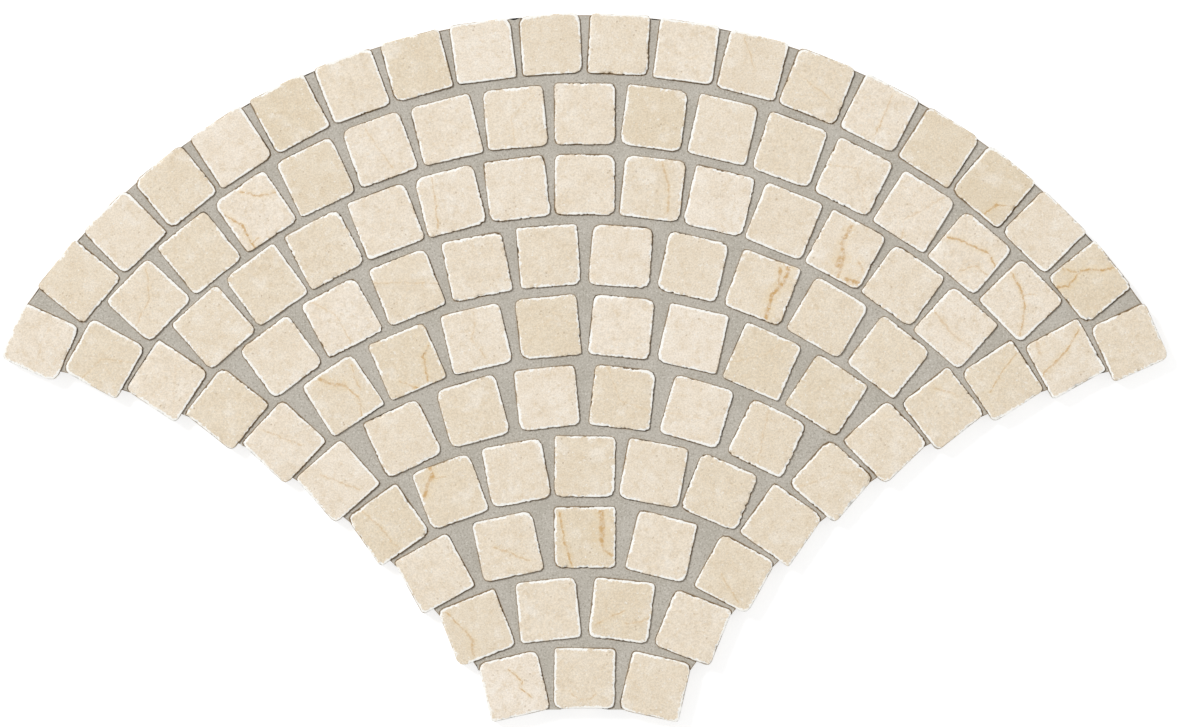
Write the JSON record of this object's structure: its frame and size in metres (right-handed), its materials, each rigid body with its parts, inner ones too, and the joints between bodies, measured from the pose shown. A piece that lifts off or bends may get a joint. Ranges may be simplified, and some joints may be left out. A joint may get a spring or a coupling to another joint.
{
  "type": "fan mosaic tile sheet",
  "caption": "Fan-shaped mosaic sheet of square tumbled marble stones laid in arched courses, with grey joint grout and a backing net, for paving and wall cladding.",
  "frame": {"origin": "middle of the sheet on the plane of the net's underside, which lies on the bed", "axes": "+X across the fan from the left shoulder to the right one, +Y from the foot to the crown, +Z out of the stones' faces"},
  "size_m": [0.5774, 0.352, 0.0106],
  "materials": {
    "marble": "tumbled, matt, cream with tan veins",
    "grout": "fine sanded, matt, grey",
    "net": "woven glass fibre net"
  },
  "bodies": {
    "root": {"course_01": "marble", "course_02": "marble", "course_03": "marble", "course_04": "marble", "course_05": "marble", "course_06": "marble", "course_07": "marble", "course_08": "marble", "course_09": "marble", "course_10": "marble", "left_border": "marble", "right_border": "marble", "joint_grout": "grout", "backing_net": "net"}
  },
  "joints": []
}
